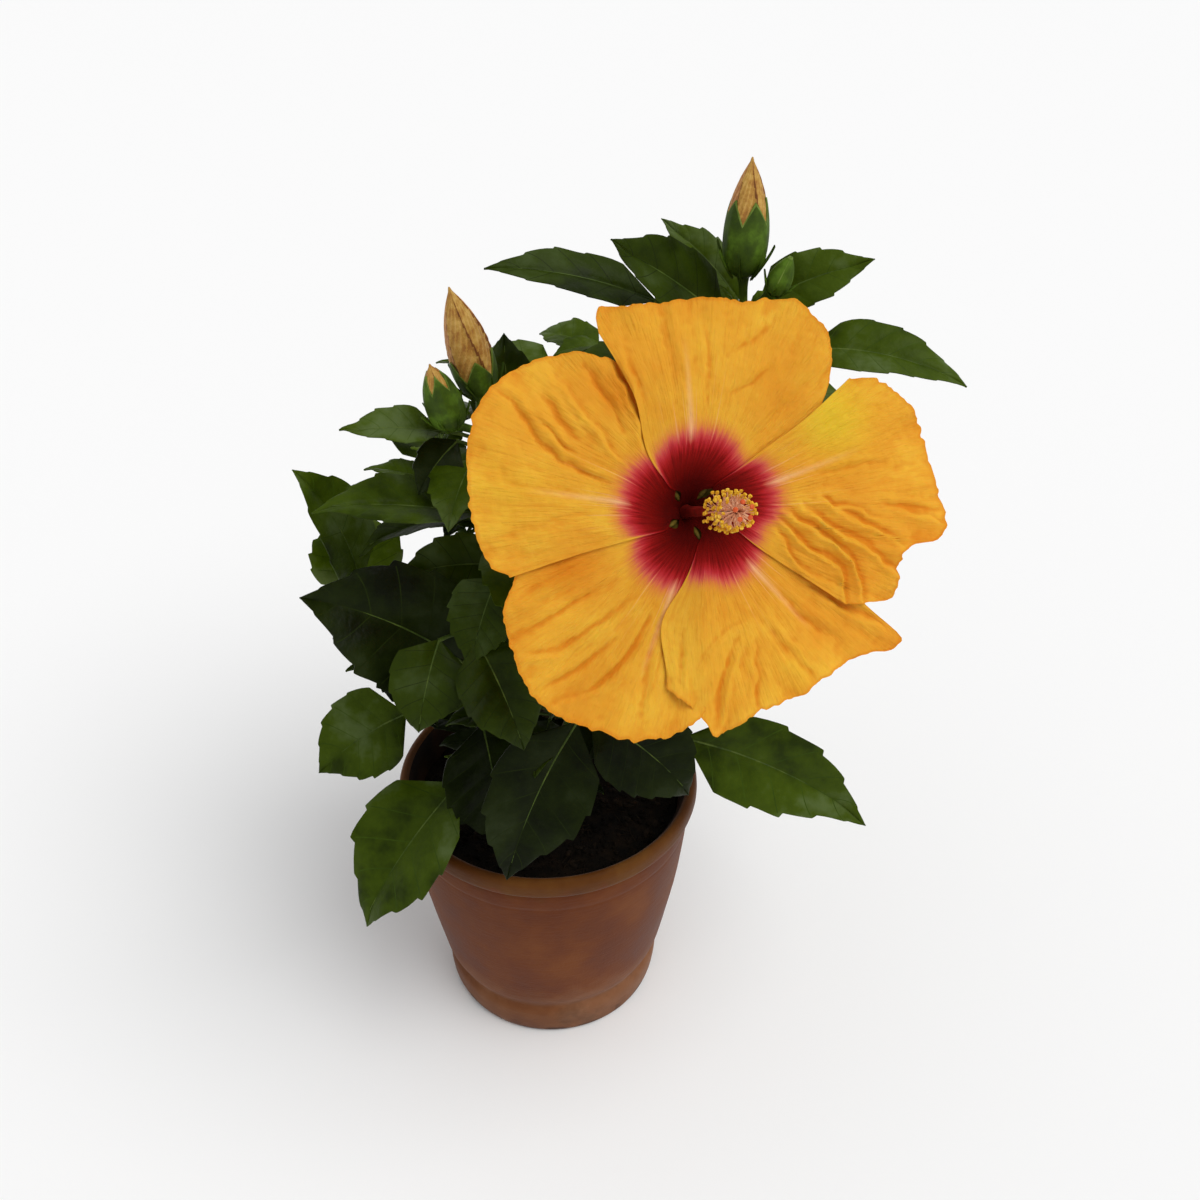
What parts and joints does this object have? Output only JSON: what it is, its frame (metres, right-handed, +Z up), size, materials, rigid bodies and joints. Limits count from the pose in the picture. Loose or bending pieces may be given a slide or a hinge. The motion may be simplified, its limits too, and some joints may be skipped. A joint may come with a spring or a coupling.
{
  "type": "hibiscus shrub in a clay pot",
  "caption": "Potted hibiscus shrub: woody stems, toothed leaves, one wide open yellow bloom with a dark red eye, furled buds, and a banded clay pot that stands on its flat underside.",
  "frame": {"origin": "centre of the pot's flat underside", "axes": "+Z up; -Y is the side that the bloom faces; +X to the right as seen from there"},
  "size_m": [0.2253, 0.2117, 0.355],
  "materials": {
    "clay": "unglazed terracotta, matt with a faint waxy sheen",
    "potting_mix": "damp crumbly mix, matt",
    "bark": "young grey-brown bark, fine ridges",
    "leaf": "waxy leaf, satin above and duller below",
    "petal": "soft crinkled petal, matt",
    "calyx": "downy green skin, matt",
    "stamens": "powdery pollen, matt",
    "bud": "furled petals, matt with fine streaks"
  },
  "bodies": {
    "root": {"pot": "clay", "potting_mix": "potting_mix", "trunk": "bark", "bough_right": "bark", "bough_left": "bark", "bough_left_mid": "bark", "bough_front": "bark", "bough_front_left": "bark", "bough_left_low": "bark", "bough_low_left": "bark", "bough_right_low": "bark", "bough_back_left": "bark", "bough_back": "bark", "bough_back_right": "bark", "bough_back_low": "bark", "foliage_top_right": "leaf", "foliage_top_left": "leaf", "foliage_left": "leaf", "foliage_left_low": "leaf", "foliage_front_left": "leaf", "foliage_low_left": "leaf", "foliage_front": "leaf", "foliage_low_right": "leaf", "foliage_back_left": "leaf", "foliage_back": "leaf", "foliage_back_right": "leaf", "foliage_back_low": "leaf", "petal_top": "petal", "petal_left": "petal", "petal_low_left": "petal", "petal_low_right": "petal", "petal_right": "petal", "bloom_calyx": "calyx", "stamen_column": "stamens", "bud_right_furl": "bud", "bud_right_calyx": "calyx", "bud_left_furl": "bud", "bud_left_calyx": "calyx", "bud_left_low_furl": "bud", "bud_left_low_calyx": "calyx", "bud_small_calyx": "calyx"}
  },
  "joints": []
}
